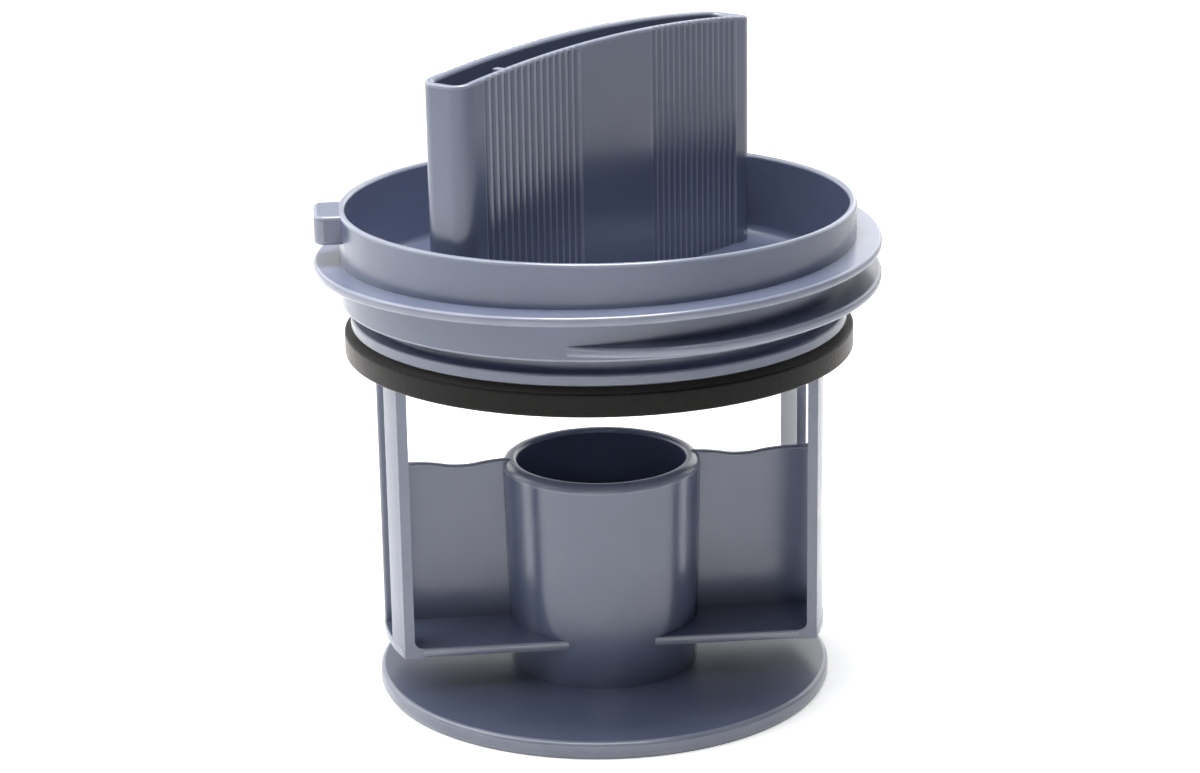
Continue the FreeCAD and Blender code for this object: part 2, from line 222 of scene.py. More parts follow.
def thicken(bm: BMesh, direction: Vector) -> None:
    """Raise every face along a direction into a closed solid.

    Args:
        bm: Flat shape to raise.
        direction: Direction and height of the solid.
    """
    raised = bmesh.ops.extrude_face_region(bm, geom=bm.faces[:])["geom"]
    bmesh.ops.translate(bm, vec=direction, verts=[part for part in raised if isinstance(part, BMVert)])
    bmesh.ops.recalc_face_normals(bm, faces=bm.faces[:])


def round_edges(bm: BMesh, edges: list[BMEdge], width: float, segments: int) -> None:
    """Round some edges of a shape.

    Args:
        bm: Shape that the edges belong to.
        edges: Edges to round.
        width: Width of the rounding.
        segments: Segments of the rounding.
    """
    bmesh.ops.bevel(
        bm, geom=edges, offset=width, offset_type="OFFSET", segments=segments, profile=0.5,
        affect="EDGES", material=-1, clamp_overlap=True,
    )


def soften(bm: BMesh, width: float, segments: int = EDGE_SEGMENTS) -> None:
    """Round all sharp edges of a shape.

    Args:
        bm: Shape to soften.
        width: Width of the rounding.
        segments: Segments of the rounding.
    """
    sharp = [edge for edge in bm.edges if edge.is_manifold and edge.calc_face_angle() > ROUNDED_FROM]
    round_edges(bm, sharp, width, segments)


def mirror_over(bm: BMesh, axes: str) -> None:
    """Add a shape's mirror image over one axis after another.

    Args:
        bm: Shape to mirror.
        axes: Letters of the axes.
    """
    for axis in axes:
        bmesh.ops.mirror(bm, geom=everything(bm), axis=axis, merge_dist=TINY)
    bmesh.ops.recalc_face_normals(bm, faces=bm.faces[:])


def turn(bm: BMesh, degrees: float) -> None:
    """Turn a shape round the screw axis."""
    matrix = Matrix.Rotation(math.radians(degrees), 3, "Z")
    bmesh.ops.rotate(bm, cent=(0, 0, 0), matrix=matrix, verts=bm.verts[:])


def gather(target: BMesh, source: BMesh) -> None:
    """Move one shape into another mesh.

    Args:
        target: Mesh that takes the shape.
        source: Shape to move, freed here.
    """
    carrier = bpy.data.meshes.new("carrier")
    source.to_mesh(carrier)
    source.free()
    target.from_mesh(carrier)
    bpy.data.meshes.remove(carrier)


class NodeTree:
    """The node tree of a material or a world, with short calls to add and join nodes."""

    def __init__(self, owner: bpy.types.Material | bpy.types.World, shader: str) -> None:
        """Turn the owner's nodes on and find its shader.

        Args:
            owner: Material or world.
            shader: Name of its shader node.
        """
        owner.use_nodes = True
        self.nodes = owner.node_tree.nodes
        self.links = owner.node_tree.links
        self.shader = self.nodes[shader]

    def settle(self, **values: float | Colour) -> None:
        """Set the shader's own sockets by name, with underscores for spaces."""
        for key, value in values.items():
            self.shader.inputs[key.replace("_", " ")].default_value = value

    def add(self, kind: str, **settings: object) -> bpy.types.Node:
        """Add a node and set its own properties, or its inputs, by name.

        Args:
            kind: Node type without its prefix.
            settings: Values by name, with underscores for spaces in an input's name.

        Returns:
            The new node.
        """
        node = self.nodes.new(f"ShaderNode{kind}")
        for key, value in settings.items():
            if hasattr(node, key):
                setattr(node, key, value)
            else:
                node.inputs[key.replace("_", " ")].default_value = value
        return node

    def join(self, source: bpy.types.NodeSocket, target: bpy.types.NodeSocket) -> None:
        """Link two sockets."""
        self.links.new(source, target)

    def drive(self, name: str, source: bpy.types.NodeSocket) -> None:
        """Link a socket to one of the shader's own."""
        self.links.new(source, self.shader.inputs[name])

    def combine(
        self, operation: Operation, first: bpy.types.NodeSocket, second: bpy.types.NodeSocket,
    ) -> bpy.types.NodeSocket:
        """Work out a value from two others.

        Args:
            operation: How the value is worked out.
            first: First value.
            second: Second value.

        Returns:
            The result.
        """
        node = self.add("Math", operation=operation.value)
        self.join(first, node.inputs[0])
        self.join(second, node.inputs[1])
        return node.outputs[0]

    def ramp(self, value: bpy.types.NodeSocket, reach: Span, result: Span) -> bpy.types.NodeSocket:
        """Map a value from one range to another, held at both ends.

        Args:
            value: Value to map.
            reach: Range of the value.
            result: Range of the result.

        Returns:
            The mapped value.
        """
        node = self.add(
            "MapRange", From_Min=reach[0], From_Max=reach[1], To_Min=result[0], To_Max=result[1],
        )
        self.join(value, node.inputs["Value"])
        return node.outputs["Result"]

    def noise(self, pattern: Pattern) -> bpy.types.NodeSocket:
        """Add noise on the object's own coordinates.

        Args:
            pattern: The noise.

        Returns:
            Its plain value.
        """
        where = self.add("TexCoord")
        texture = self.add(
            "TexNoise", Scale=pattern.scale, Detail=pattern.detail, Roughness=pattern.roughness,
        )
        self.join(where.outputs["Object"], texture.inputs["Vector"])
        return texture.outputs["Fac"]

    def spread(self, pattern: Pattern, result: Span = WHOLE) -> bpy.types.NodeSocket:
        """Add noise that is spread over a range."""
        return self.ramp(self.noise(pattern), NOISE_SPAN, result)

    def mix(
        self, factor: bpy.types.NodeSocket, first: Colour | bpy.types.NodeSocket, second: Colour,
    ) -> bpy.types.NodeSocket:
        """Mix two colours.

        Args:
            factor: Share of the second colour.
            first: First colour, or the socket that gives it.
            second: Second colour.

        Returns:
            The mixed colour.
        """
        node = self.add("Mix", data_type="RGBA")
        self.join(factor, node.inputs[MIX_FACTOR])
        if isinstance(first, bpy.types.NodeSocket):
            self.join(first, node.inputs[MIX_FIRST])
        else:
            node.inputs[MIX_FIRST].default_value = first
        node.inputs[MIX_SECOND].default_value = second
        return node.outputs[MIX_RESULT]

    def roughen(self, pattern: Pattern, strength: float, height: float) -> None:
        """Raise a fine grain on the surface.

        Args:
            pattern: Noise that shapes the grain.
            strength: Strength of the bump.
            height: Height of the grain in metres.
        """
        bump = self.add("Bump", Strength=strength, Distance=height)
        self.join(self.noise(pattern), bump.inputs["Height"])
        self.drive("Normal", bump.outputs["Normal"])


@dataclass(frozen=True)
class MouldedPlastic:
    """Satin blue-grey plastic with faint flow clouds, a fine moulded grain and edges painted paler as a
    painted highlight.
    """

    name: str = "moulded_plastic"
    pale: Colour = (0.118, 0.139, 0.222, 1.0)
    deep: Colour = (0.106, 0.126, 0.205, 1.0)
    highlight_colour: Colour = (0.245, 0.268, 0.342, 1.0)
    clouds: Pattern = Pattern(55.0, 3.0)
    wear: Pattern = Pattern(160.0, 3.0)
    highlight_share: Span = (0.65, 1.0)
    sheen: Pattern = Pattern(240.0, 4.0)
    roughness: Span = (0.2, 0.27)
    specular: float = 0.9
    refraction: float = 1.5
    grain: Pattern = Pattern(2600.0, 2.0)
    grain_strength: float = 0.012
    grain_height: float = 0.0002

    def material(self) -> bpy.types.Material:
        """Make the finish.

        Returns:
            The material.
        """
        material = bpy.data.materials.new(self.name)
        tree = NodeTree(material, PRINCIPLED)
        tree.settle(IOR=self.refraction, Specular_IOR_Level=self.specular)
        clouded = tree.mix(tree.spread(self.clouds), self.deep, self.pale)
        # Edges and crests are painted paler from the face attribute, as a painted highlight.
        edges = tree.add("Attribute", attribute_name=EDGE_HIGHLIGHT)
        uneven = tree.spread(self.wear, self.highlight_share)
        highlighted = tree.combine(Operation.MULTIPLY, edges.outputs["Fac"], uneven)
        tree.drive("Base Color", tree.mix(highlighted, clouded, self.highlight_colour))
        tree.drive("Roughness", tree.spread(self.sheen, self.roughness))
        tree.roughen(self.grain, self.grain_strength, self.grain_height)
        return material


@dataclass(frozen=True)
class SealRubber:
    """Matt black rubber with a dusty, slightly uneven skin."""

    name: str = "seal_rubber"
    pale: Colour = (0.012, 0.0112, 0.0105, 1.0)
    deep: Colour = (0.006, 0.0056, 0.0052, 1.0)
    dust: Pattern = Pattern(420.0, 5.0, 0.6)
    dust_weight: float = 0.9
    dust_roughness: float = 0.3
    dust_tint: Colour = (1.0, 0.95, 0.91, 1.0)
    roughness: Span = (0.42, 0.56)
    specular: float = 0.16
    grain: Pattern = Pattern(1900.0, 3.0)
    grain_strength: float = 0.12
    grain_height: float = 0.0003

    def material(self) -> bpy.types.Material:
        """Make the finish.

        Returns:
            The material.
        """
        material = bpy.data.materials.new(self.name)
        tree = NodeTree(material, PRINCIPLED)
        tree.settle(
            Specular_IOR_Level=self.specular, Sheen_Weight=self.dust_weight,
            Sheen_Roughness=self.dust_roughness, Sheen_Tint=self.dust_tint,
        )
        dusty = tree.spread(self.dust)
        tree.drive("Base Color", tree.mix(dusty, self.deep, self.pale))
        tree.drive("Roughness", tree.ramp(dusty, WHOLE, self.roughness))
        tree.roughen(self.grain, self.grain_strength, self.grain_height)
        return material


@dataclass
class SubAssembly:
    """A group of forms that is built and dressed as one piece of the filter.

    A face is painted paler where it bends outwards by more than least_bend to the millimetre: a painted
    highlight on edges and crests. Tall upright faces, such as the grip's flutes, take only tall_share of that
    painted highlight.
    """

    finish: bpy.types.Material
    name: ClassVar[str]
    solid: ClassVar[Solid] = Solid.MOULDING
    slot: ClassVar[Slot] = Slot.PLASTIC
    least_bend: ClassVar[float] = 0.2
    tall_share: ClassVar[float] = 1.0

    def shape(self) -> BMesh:
        """Build the piece's shape in millimetres."""
        raise NotImplementedError

    def paint_edge_highlights(self, bm: BMesh) -> None:
        """Note on every face how much painted highlight it takes, from how tightly it bends outwards.

        Half of the bend at each edge counts, because two faces share it.

        Args:
            bm: Finished shape in millimetres.
        """
        wear = bm.faces.layers.float.new(EDGE_HIGHLIGHT)
        for face in bm.faces:
            heights = [vert.co.z for vert in face.verts]
            share = self.tall_share if max(heights) - min(heights) > TALL_FACE else 1.0
            # Tighter outward bends take more of the painted highlight.
            bend = sum(edge.calc_face_angle_signed(0.0) * edge.calc_length() for edge in face.edges)
            curve = bend / 2 / max(face.calc_area(), TINY)
            face[wear] = share * min(max((curve - self.least_bend) / FULL_HIGHLIGHT, 0.0), 1.0)

    def dress(self, bm: BMesh) -> bpy.types.Object:
        """Turn a shape into a piece with its finish, in the place of the solid that it stands for.

        Args:
            bm: Finished shape in millimetres, freed here.

        Returns:
            The piece, at the origin, in metres.
        """
        self.paint_edge_highlights(bm)
        bmesh.ops.scale(bm, vec=(MM, MM, MM), verts=bm.verts[:])
        mesh = bpy.data.meshes.new(self.name)
        bm.to_mesh(mesh)
        bm.free()
        mesh.shade_smooth()
        mesh.set_sharp_from_angle(angle=SHADED_FROM)
        mesh.materials.append(self.finish)
        piece = bpy.data.objects.new(self.name, mesh)
        bpy.context.collection.objects.link(piece)
        weighted = piece.modifiers.new("even_shading", "WEIGHTED_NORMAL")
        weighted.keep_sharp = True
        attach(piece, "root")
        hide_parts(self.solid.value)
        return piece

    def build(self) -> bpy.types.Object:
        """Build the shape and dress it."""
        return self.dress(self.shape())


@dataclass
class BaseAndTube(SubAssembly):
    """The base disc and the tapered suction tube that stands on it, open at both ends."""

    name: ClassVar[str] = "base_and_tube"
    disc_radius: float = 28.7
    disc_thickness: float = 2.2
    disc_edge_inset: float = 0.35
    disc_edge_step: float = 0.65
    disc_rounding: float = 0.6
    bore: float = 10.65
    bore_rounding: float = 0.25
    mouth: float = 12.55
    foot: float = 11.95
    height: float = 29.1
    lip_rounding: float = 1.1
    inner_lip_rounding: float = 0.55
    steps: int = 192

    def shape(self) -> BMesh:
        """Turn the disc and the tube in one profile.

        Returns:
            The shape.
        """
        return turned([
            Corner(self.bore, 0.0, self.bore_rounding),
            Corner(self.disc_radius - self.disc_edge_inset, 0.0),
            Corner(self.disc_radius, self.disc_edge_step),
            Corner(self.disc_radius, self.disc_thickness, self.disc_rounding),
            Corner(self.foot, self.disc_thickness),
            Corner(self.mouth, self.height, self.lip_rounding),
            Corner(self.bore, self.height, self.inner_lip_rounding),
        ], self.steps)


@dataclass
class LintCage(SubAssembly):
    """The cage: a floor with straight front and back, two wings with middle ribs, and four corner legs.

    The floor and the wings end inside the tube's wall. The legs' feet stand a hair proud of the floor, so
    that no two faces lie in one plane.
    """

    name: ClassVar[str] = "lint_cage"
    floor_height: float = 7.15
    floor_thickness: float = 1.2
    floor_radius: float = 28.1
    floor_bore: float = 11.0
    floor_bore_reach: float = 10.0
    half_depth: float = 10.8
    radius: float = 28.0
    top: float = 44.2
    leg_thickness: float = 1.15
    leg_width: float = 4.3
    leg_spare_sweep: float = 1.3
    foot_fillet: float = 0.95
    proud: float = 0.015
    wing_root: float = 11.3
    wing_thickness: float = 1.2
    wing_height: float = 29.2
    wing_corner: float = 0.5
    dip_start: float = 13.6
    dip_reach: float = 4.2
    dip_depth: float = 0.8
    dip_shoulder: float = 0.42
    dip_bottom: float = 0.48
    rib_width: float = 1.5
    edge_rounding: float = 0.3
    floor_steps: int = 24
    leg_steps: int = 16

    def floor(self) -> BMesh:
        """Draw one half of the floor between its outer arc and the tube, thicken it and mirror it.

        Returns:
            The floor.
        """
        bm = bmesh.new()
        ends: list[tuple[BMVert, BMVert]] = []
        for radius, reach in ((self.floor_radius, self.half_depth), (self.floor_bore, self.floor_bore_reach)):
            half_turn = math.asin(reach / radius)
            first = bm.verts.new((radius * math.cos(half_turn), -reach, self.floor_height))
            arc = bmesh.ops.spin(
                bm, geom=[first], axis=(0, 0, 1), cent=(0, 0, 0), angle=2 * half_turn,
                steps=self.floor_steps, use_merge=False,
            )
            ends.append((first, next(part for part in arc["geom_last"] if isinstance(part, BMVert))))
        for outer, inner in zip(*ends):
            elbow = bm.verts.new((inner.co.x, outer.co.y, self.floor_height))
            bm.edges.new((outer, elbow))
            bm.edges.new((elbow, inner))
        bmesh.ops.edgenet_fill(bm, edges=bm.edges[:])
        thicken(bm, Vector((0.0, 0.0, self.floor_thickness)))
        soften(bm, self.edge_rounding)
        mirror_over(bm, "X")
        return bm

    def wings(self) -> BMesh:
        """Draw one wing with its dipped top and its rib, thicken it and mirror it.

        Returns:
            Both wings.
        """
        rib = self.radius - self.rib_width
        dip = self.dip_start + self.dip_reach
        shoulder = self.dip_shoulder * self.dip_reach
        bm = bmesh.new()
        draw_outline(bm, [
            Corner(self.wing_root, self.floor_height),
            Corner(self.radius, self.floor_height),
            Corner(self.radius, self.top),
            Corner(rib, self.top),
            Corner(rib, self.wing_height, self.wing_corner),
            Corner(dip + self.dip_reach, self.wing_height, shoulder),
            Corner(dip, self.wing_height - self.dip_depth, self.dip_bottom * self.dip_reach),
            Corner(self.dip_start, self.wing_height, shoulder),
            Corner(self.wing_root, self.wing_height),
        ], Plane.UPRIGHT, FINE_SEGMENTS)
        bmesh.ops.translate(bm, vec=(0.0, -self.wing_thickness / 2, 0.0), verts=bm.verts[:])
        thicken(bm, Vector((0.0, self.wing_thickness, 0.0)))
        soften(bm, self.edge_rounding)
        mirror_over(bm, "X")
        return bm

    def legs(self) -> BMesh:
        """Bend one curved leg, trim its two sides and mirror it to the four corners.

        Returns:
            All four legs.
        """
        inner = self.radius - self.leg_thickness
        foot = inner - self.foot_fillet - self.proud
        low = self.floor_height - self.proud
        floor_top = self.floor_height + self.floor_thickness + self.proud
        bm = bmesh.new()
        draw_outline(bm, [
            Corner(foot, low),
            Corner(self.radius, low),
            Corner(self.radius, self.top),
            Corner(inner, self.top),
            Corner(inner, floor_top, self.foot_fillet),
            Corner(foot, floor_top),
        ], Plane.UPRIGHT)
        sweep = math.asin(self.half_depth / inner) * self.leg_spare_sweep
        bmesh.ops.spin(
            bm, geom=everything(bm), axis=(0, 0, 1), cent=(0, 0, 0), angle=sweep, steps=self.leg_steps,
            use_merge=False,
        )
        close(bm)
        trim(bm, Vector((0.0, self.half_depth + self.proud, 0.0)), Vector((0.0, 1.0, 0.0)))
        trim(bm, Vector((0.0, self.half_depth - self.leg_width, 0.0)), Vector((0.0, -1.0, 0.0)))
        soften(bm, self.edge_rounding)
        mirror_over(bm, "XY")
        return bm

    def shape(self) -> BMesh:
        """Join the floor, the wings and the legs.

        Returns:
            The shape.
        """
        bm = self.floor()
        gather(bm, self.wings())
        gather(bm, self.legs())
        return bm


@dataclass
class ThreadedCap(SubAssembly):
    """The cap: skirt with the seal's seat, guard flange, groove, bowl with its rim, and the stop tab."""

    name: ClassVar[str] = "threaded_cap"
    skirt_height: float = 43.27
    skirt_bore: float = 26.8
    skirt_rounding: float = 0.2
    seat: float = 28.3
    seat_rounding: float = 0.12
    seat_lip: float = 28.9
    seat_lip_thickness: float = 0.65
    seat_lip_rounding: float = 0.1
    guard: float = 30.75
    guard_height: float = 47.45
    guard_thickness: float = 1.4
    guard_root: float = 0.3
    guard_low_rounding: float = 0.25
    guard_top_rounding: float = 0.3
    groove: float = 28.7
    groove_rounding: float = 0.4
    underside: float = 50.65
    underside_rounding: float = 0.6
    floor: float = BOWL_FLOOR
    floor_radius: float = 30.1
    floor_rounding: float = 1.4
    wall: float = CAP_WALL
    wall_rounding: float = 0.35
    rim_bore: float = 31.0
    rim_height: float = 62.25
    rim_rounding: float = 0.42
    tab_width: float = 8.3
    tab_radius: float = 34.8
    tab_height: float = 3.6
    tab_root: float = 0.75
    tab_corner: float = 1.2
    tab_rounding: float = 0.5
    steps: int = 224

    def bowl(self) -> BMesh:
        """Turn the cap in one profile.

        Returns:
            The cap without its tab.
        """
        seat_floor = self.skirt_height + self.seat_lip_thickness
        guard_top = self.guard_height + self.guard_thickness
        return turned([
            Corner(self.skirt_bore, self.skirt_height, self.skirt_rounding),
            Corner(self.seat, self.skirt_height, self.seat_rounding),
            Corner(self.seat_lip, seat_floor, self.seat_lip_rounding),
            Corner(self.seat, seat_floor),
            Corner(self.seat, self.guard_height, self.guard_root),
            Corner(self.guard, self.guard_height, self.guard_low_rounding),
            Corner(self.guard, guard_top, self.guard_top_rounding),
            Corner(self.groove, guard_top, self.groove_rounding),
            Corner(self.groove, self.underside, self.groove_rounding),
            Corner(self.wall, self.underside, self.wall_rounding),
            Corner(self.wall, self.rim_height, self.rim_rounding),
            Corner(self.rim_bore, self.rim_height, self.rim_rounding),
            Corner(self.floor_radius, self.floor, self.floor_rounding),
            Corner(0.0, self.floor),
            Corner(0.0, self.underside),
            Corner(self.skirt_bore, self.underside, self.underside_rounding),
        ], self.steps)

    def tab(self) -> BMesh:
        """Raise the stop tab beside the rim.

        Returns:
            The tab.
        """
        half = self.tab_width / 2
        root = self.tab_root - self.wall
        bm = bmesh.new()
        draw_outline(bm, [
            Corner(-self.tab_radius, -half, self.tab_corner),
            Corner(root, -half),
            Corner(root, half),
            Corner(-self.tab_radius, half, self.tab_corner),
        ], Plane.LEVEL)
        bmesh.ops.translate(bm, vec=(0.0, 0.0, self.rim_height - self.tab_height), verts=bm.verts[:])
        thicken(bm, Vector((0.0, 0.0, self.tab_height)))
        soften(bm, self.tab_rounding, ROUND_SEGMENTS)
        return bm

    def shape(self) -> BMesh:
        """Join the bowl and its tab.

        Returns:
            The shape.
        """
        bm = self.bowl()
        gather(bm, self.tab())
        return bm


@dataclass
class ScrewThread(SubAssembly):
    """The right-hand thread on the cap's wall, which rises out of it and sinks back into it.

    Angles are in degrees. The thread is rooted root_depth inside the wall, and its ground ends start nose
    from the wall's face, which is negative because they start inside it.
    """

    name: ClassVar[str] = "screw_thread"
    wall: float = CAP_WALL
    crest: float = 34.99
    pitch: float = 4.2
    turns: float = 1.4844
    start_angle: float = -104.1
    start_height: float = 51.975
    crest_width: float = 1.15
    crest_rounding: float = 0.4
    root_width: float = 1.45
    root_depth: float = 0.35
    nose: float = -0.3
    lead_in: float = 36.0
    run_out: float = 58.0
    steps_per_turn: int = 224

    def section(self, bm: BMesh) -> None:
        """Draw the thread's section at the start of the helix.

        Args:
            bm: Empty mesh to draw in.
        """
        inside = self.wall - self.root_depth
        half_root = self.root_width / 2
        half_crest = self.crest_width / 2
        draw_outline(bm, [
            Corner(inside, -half_root),
            Corner(self.crest, -half_crest, self.crest_rounding),
            Corner(self.crest, half_crest, self.crest_rounding),
            Corner(inside, half_root),
        ], Plane.UPRIGHT)
        bmesh.ops.translate(bm, vec=(0.0, 0.0, self.start_height), verts=bm.verts[:])
        turn(bm, self.start_angle)

    def sweep_of(self, point: Vector) -> float:
        """Tell how far along the helix a point lies.

        Args:
            point: A point of the thread.

        Returns:
            Degrees from the start.
        """
        polar = math.degrees(math.atan2(point.y, point.x))
        first = (polar - self.start_angle) % 360.0
        whole_turns = round((point.z - self.start_height) / self.pitch - first / 360.0)
        return first + 360.0 * whole_turns

    def reach_at(self, from_end: float, spread: float) -> float:
        """Radius to which an end of the thread is ground.

        Args:
            from_end: Degrees from the end.
            spread: Degrees over which the thread reaches its full height.

        Returns:
            The radius of a rounded ramp that rises out of the wall near the end.
        """
        low = self.wall + self.nose
        return low + (self.crest - low) * math.sin(0.5 * math.pi * from_end / spread)

    def grind_ends(self, bm: BMesh) -> None:
        """Bring the section down into the wall at both ends.

        Args:
            bm: The wound thread.
        """
        whole = self.turns * 360.0
        inside = self.wall - self.root_depth
        for vert in bm.verts:
            sweep = self.sweep_of(vert.co)
            limit = self.crest
            for from_end, spread in ((sweep, self.lead_in), (whole - sweep, self.run_out)):
                if from_end < spread:
                    limit = min(limit, self.reach_at(max(from_end, 0.0), spread))
            radius = math.hypot(vert.co.x, vert.co.y)
            ground = inside + (radius - inside) * (limit - inside) / (self.crest - inside)
            vert.co.x *= ground / radius
            vert.co.y *= ground / radius

    def shape(self) -> BMesh:
        """Wind the section up the helix and grind its ends.

        Returns:
            The shape.
        """
        bm = bmesh.new()
        self.section(bm)
        steps = round(self.turns * self.steps_per_turn)
        bmesh.ops.spin(
            bm, geom=everything(bm), axis=(0, 0, 1), cent=(0, 0, 0), angle=math.tau * self.turns,
            dvec=(0.0, 0.0, self.pitch * self.turns / steps), steps=steps, use_merge=False,
        )
        self.grind_ends(bm)
        bmesh.ops.recalc_face_normals(bm, faces=bm.faces[:])
        return bm


@dataclass
class Grip(SubAssembly):
    """The hollow grip blade: arched top with a rounded lip, fluted faces and two short ribs inside.

    The blade is drawn along X and then turned. The flutes keep lip_flute of their depth up through the lip.
    """

    name: ClassVar[str] = "grip"
    # Only the flutes' tighter crests take the painted highlight, and tall faces take less of it.
    least_bend: ClassVar[float] = 0.6
    tall_share: ClassVar[float] = 0.75
    angle: float = 45.9
    length: float = 56.8
    thickness: float = 6.8
    wall: float = 1.1
    corner: float = 2.3
    height: float = 82.9
    arch_radius: float = 230.0
    floor: float = BOWL_FLOOR
    sink: float = 0.4
    lip: float = 0.45
    lip_fade: float = 0.25
    lip_rounding: float = 0.34
    mouth_rounding: float = 0.5
    lip_flute: float = 0.55
    flute_count: int = 15
    flute_pitch: float = 1.1633
    flute_depth: float = 0.4
    plain_centre: float = 13.9
    cells_per_flute: int = 6
    rib_place: float = 20.2
    rib_width: float = 1.0
    rib_depth: float = 0.9
    rib_corner: float = 0.2
    rib_rounding: float = 0.15
    near_rib_drop: float = 0.03
    far_rib_drop: float = 1.2

    def arch(self, along: float) -> float:
        """Height of the arched top at a place along the blade."""
        return self.height - self.arch_radius + math.sqrt(self.arch_radius ** 2 - along ** 2)

    def flute(self, along: float) -> float:
        """Depth of the flutes, round hollows with crests between them.

        Args:
            along: Place along the blade.

        Returns:
            The depth there.
        """
        into = (abs(along) - self.plain_centre / 2) / self.flute_pitch
        if into < 0.0 or into > self.flute_count:
            return 0.0
        return self.flute_depth * abs(math.sin(math.pi * into))

    def outline(self, bm: BMesh) -> float:
        """Draw the blade's plain outline with its long sides cut into cells.

        Args:
            bm: Empty mesh to draw in.

        Returns:
            The rounding of its corners, fitted so that the flutes fall on whole cells.
        """
        cell = self.flute_pitch / self.cells_per_flute
        cells = 2 * round((self.length / 2 - self.corner) / cell)
        corner = (self.length - cells * cell) / 2
        half_length = self.length / 2
        half_width = self.thickness / 2
        draw_outline(bm, [
            Corner(-half_length, -half_width, corner),
            Corner(half_length, -half_width, corner),
            Corner(half_length, half_width, corner),
            Corner(-half_length, half_width, corner),
        ], Plane.LEVEL, FINE_SEGMENTS)
        bmesh.ops.delete(bm, geom=bm.faces[:], context="FACES_ONLY")
        long_sides = [edge for edge in bm.edges if edge.calc_length() > half_length]
        bmesh.ops.subdivide_edges(bm, edges=long_sides, cuts=cells - 1)
        return corner

    def inset(self, vert: BMVert, corner: float) -> None:
        """Move a point of the plain outline in by the wall.

        Args:
            vert: The point.
            corner: Rounding of the outline's corners.
        """
        straight = self.length / 2 - corner
        flank = self.thickness / 2 - corner
        core = Vector((
            min(max(vert.co.x, -straight), straight),
            min(max(vert.co.y, -flank), flank),
            vert.co.z,
        ))
        vert.co = core + (vert.co - core) * (1.0 - self.wall / corner)

    def cut_flutes(self, verts: list[BMVert], share: float) -> None:
        """Push the points of the two faces in by the flutes.

        Args:
            verts: Points of the plain outline.
            share: Share of the flutes' depth.
        """
        for vert in verts:
            depth = self.flute(vert.co.x) * share
            if depth and abs(vert.co.y) > self.thickness / 2 - TINY:
                vert.co.y -= math.copysign(depth, vert.co.y)

    def blade(self) -> BMesh:
        """Raise the outline to the lip, over it and down inside, and close the ring at the foot.

        Returns:
            The blade without its ribs.
        """
        bm = bmesh.new()
        corner = self.outline(bm)
        bottom = self.floor - self.sink
        drops = {Level.FLUTED: self.lip + self.lip_fade, Level.PLAIN: self.lip, Level.TOP: 0.0}
        foot = bm.edges[:]
        foot_verts = bm.verts[:]
        edges: dict[Level, list[BMEdge]] = {}
        verts: dict[Level, list[BMVert]] = {}
        ring = foot
        for level in Level:
            raised = bmesh.ops.extrude_edge_only(bm, edges=ring)["geom"]
            verts[level] = [part for part in raised if isinstance(part, BMVert)]
            fresh = set(verts[level])
            ring = [part for part in raised if isinstance(part, BMEdge) and fresh.issuperset(part.verts)]
            edges[level] = ring
            for vert in verts[level]:
                if level is Level.MOUTH:
                    self.inset(vert, corner)
                elif level is Level.INSIDE:
                    vert.co.z = bottom
                else:
                    vert.co.z = self.arch(vert.co.x) - drops[level]
        for vert in foot_verts:
            vert.co.z = bottom
        self.cut_flutes(foot_verts + verts[Level.FLUTED], 1.0)
        self.cut_flutes(verts[Level.PLAIN] + verts[Level.TOP], self.lip_flute)
        bmesh.ops.bridge_loops(bm, edges=foot + ring)
        round_edges(bm, edges[Level.TOP], self.lip_rounding, ROUND_SEGMENTS)
        round_edges(bm, edges[Level.MOUTH], self.mouth_rounding, ROUND_SEGMENTS)
        close(bm)
        return bm

    def inner_rib(self, side: float, drop: float) -> BMesh:
        """Raise one of the two short ribs on the inside of the walls.

        Args:
            side: End of the blade and wall that carry the rib, 1 or -1.
            drop: How far the rib stays below the arched top.

        Returns:
            The rib, rooted half-way into its wall.
        """
        middle = self.rib_place * side
        face = (self.thickness / 2 - self.wall) * side
        root = face + self.wall / 2 * side
        tip = face - self.rib_depth * side
        half = self.rib_width / 2
        bottom = self.floor - self.sink
        bm = bmesh.new()
        draw_outline(bm, [
            Corner(middle - half, root),
            Corner(middle + half, root),
            Corner(middle + half, tip, self.rib_corner),
            Corner(middle - half, tip, self.rib_corner),
        ], Plane.LEVEL)
        bmesh.ops.translate(bm, vec=(0.0, 0.0, bottom), verts=bm.verts[:])
        thicken(bm, Vector((0.0, 0.0, self.arch(middle) - drop - bottom)))
        soften(bm, self.rib_rounding)
        return bm

    def shape(self) -> BMesh:
        """Join the blade and its ribs, and turn them to the grip's angle.

        Returns:
            The shape.
        """
        bm = self.blade()
        gather(bm, self.inner_rib(1.0, self.far_rib_drop))
        gather(bm, self.inner_rib(-1.0, self.near_rib_drop))
        turn(bm, self.angle)
        return bm


@dataclass
class SealRing(SubAssembly):
    """The rubber ring on its seat."""

    name: ClassVar[str] = "rubber_seal"
    solid: ClassVar[Solid] = Solid.RING
    slot: ClassVar[Slot] = Slot.RUBBER
    inner: float = 28.33
    inner_rounding: float = 0.15
    outer_rounding: float = 0.3
    steps: int = 224

    def shape(self) -> BMesh:
        """Turn the ring between the heights that the frame gives it.

        Returns:
            The shape.
        """
        low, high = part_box(self.solid.value)
        bottom = low[2] / MM
        top = high[2] / MM
        outer = high[0] / MM
        return turned([
            Corner(self.inner, bottom, self.inner_rounding),
            Corner(outer, bottom, self.outer_rounding),
            Corner(outer, top, self.outer_rounding),
            Corner(self.inner, top, self.inner_rounding),
        ], self.steps)


def direction_from(azimuth: float, elevation: float) -> Vector:
    """Find the direction of a place round the object.

    Args:
        azimuth: Degrees from the front, 90 to the right.
        elevation: Degrees above the table.

    Returns:
        The unit vector towards it.
    """
    across = math.radians(azimuth)
    rise = math.radians(elevation)
    return Vector((
        math.sin(across) * math.cos(rise), -math.cos(across) * math.cos(rise), math.sin(rise),
    ))


